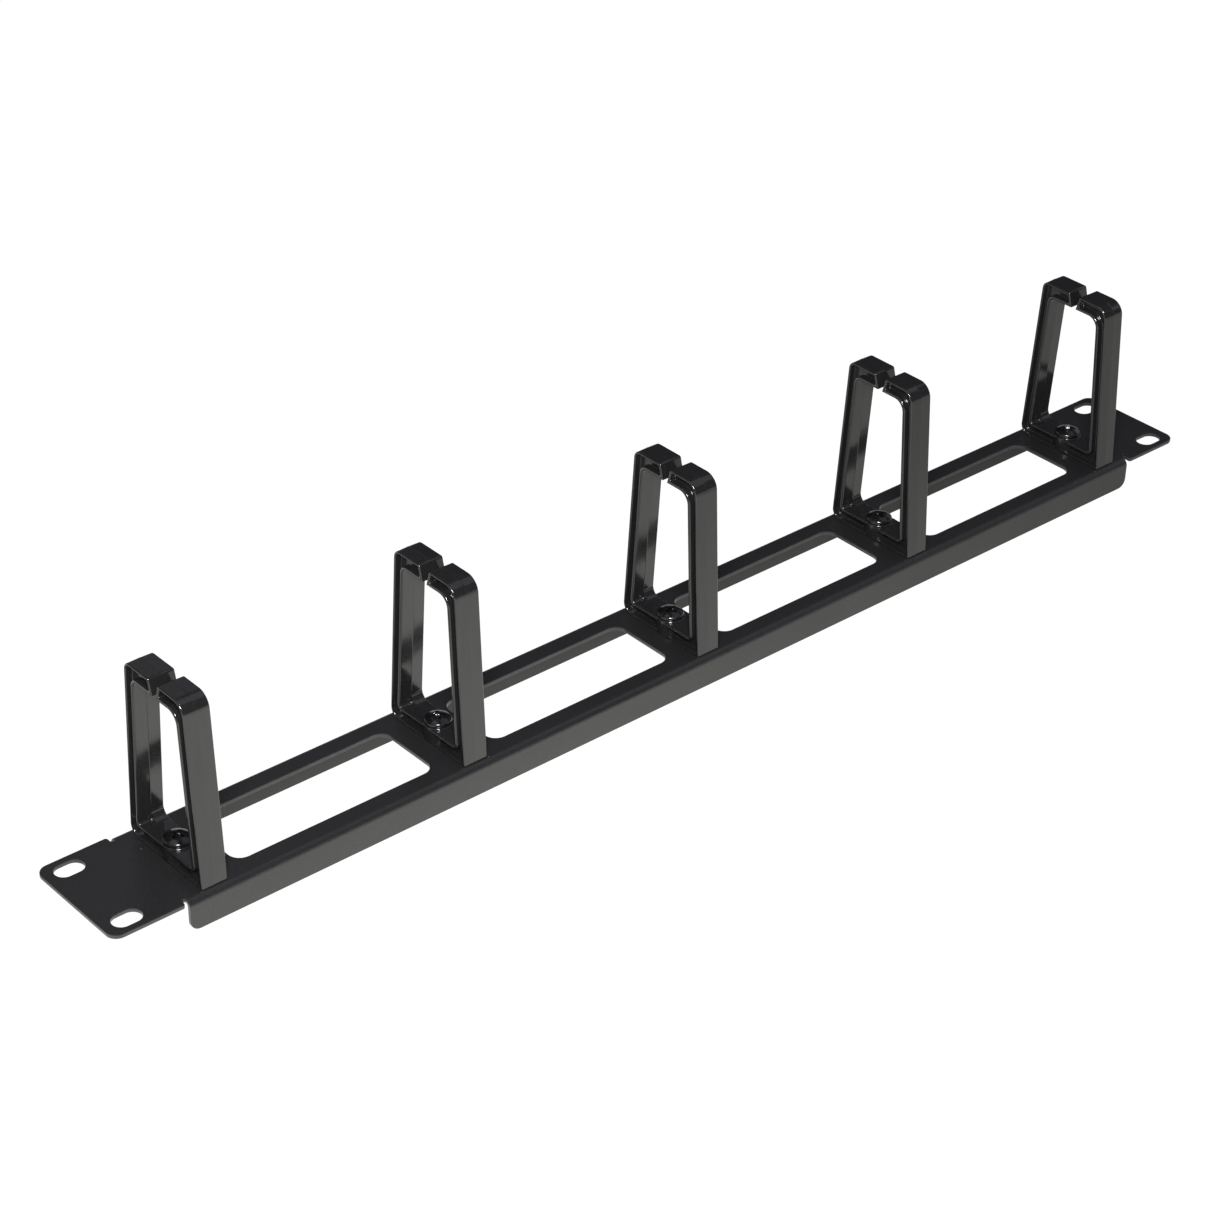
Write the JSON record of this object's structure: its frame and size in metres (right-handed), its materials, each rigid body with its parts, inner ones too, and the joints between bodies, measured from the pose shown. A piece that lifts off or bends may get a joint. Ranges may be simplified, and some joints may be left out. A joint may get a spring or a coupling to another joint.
{
  "type": "horizontal cable manager",
  "caption": "Rack panel with turned-down edges, windows between upright open cable rings with slit tops, and slotted ears for the rack rails.",
  "frame": {"origin": "under the middle of the panel, level with the lower edges of its front and rear flanges", "axes": "+X along the panel, +Y from the flange in front to the one behind, +Z out of the panel's face, the way the rings stand"},
  "size_m": [0.4826, 0.0436, 0.0776],
  "materials": {
    "powder_coat": "fine black powder coat",
    "moulded_plastic": "semi-gloss black moulding",
    "black_steel": "black plated"
  },
  "bodies": {
    "root": {"panel": "powder_coat", "ring_1": "moulded_plastic", "screw_1": "black_steel", "washer_1": "black_steel", "nut_1": "black_steel", "ring_2": "moulded_plastic", "screw_2": "black_steel", "washer_2": "black_steel", "nut_2": "black_steel", "ring_3": "moulded_plastic", "screw_3": "black_steel", "washer_3": "black_steel", "nut_3": "black_steel", "ring_4": "moulded_plastic", "screw_4": "black_steel", "washer_4": "black_steel", "nut_4": "black_steel", "ring_5": "moulded_plastic", "screw_5": "black_steel", "washer_5": "black_steel", "nut_5": "black_steel"}
  },
  "joints": []
}
